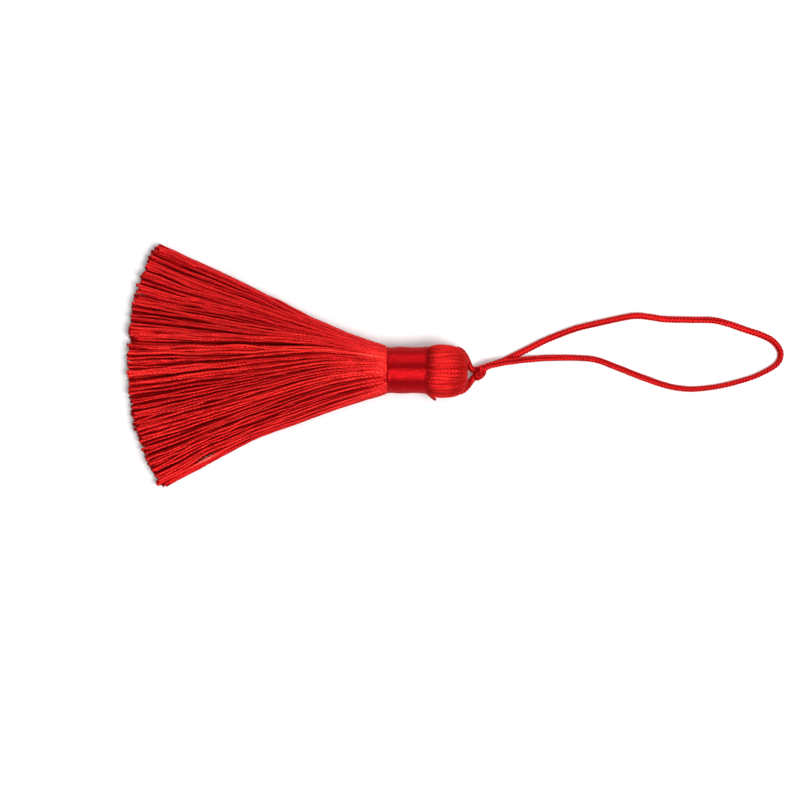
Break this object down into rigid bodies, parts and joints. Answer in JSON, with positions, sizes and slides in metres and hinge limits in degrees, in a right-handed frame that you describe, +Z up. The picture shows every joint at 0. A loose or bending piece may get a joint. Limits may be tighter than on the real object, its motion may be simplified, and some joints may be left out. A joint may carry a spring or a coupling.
{
  "type": "silk tassel with hanging loop",
  "caption": "Silky yarn tassel lying flat, with a fanned skirt, a thread-bound neck, a ball head and a knotted hanging loop of braided cord.",
  "frame": {"origin": "on the surface the tassel lies on, at the small flat spot under the middle of its ball head", "axes": "+X along the tassel from the skirt's cut ends to the hanging loop, +Y across the skirt's fan, +Z up from the surface"},
  "size_m": [0.1543, 0.0567, 0.0124],
  "materials": {
    "yarn": "twisted silky yarn, soft sheen along the threads",
    "binding_thread": "fine glossy thread wound in close turns",
    "braided_cord": "thin braided silky cord, satin"
  },
  "bodies": {
    "root": {"thread_bundle": "yarn", "neck_wrap": "binding_thread", "cord_leg_upper": "braided_cord", "cord_leg_lower": "braided_cord", "cord_knot": "braided_cord", "cord_loop": "braided_cord"}
  },
  "joints": []
}
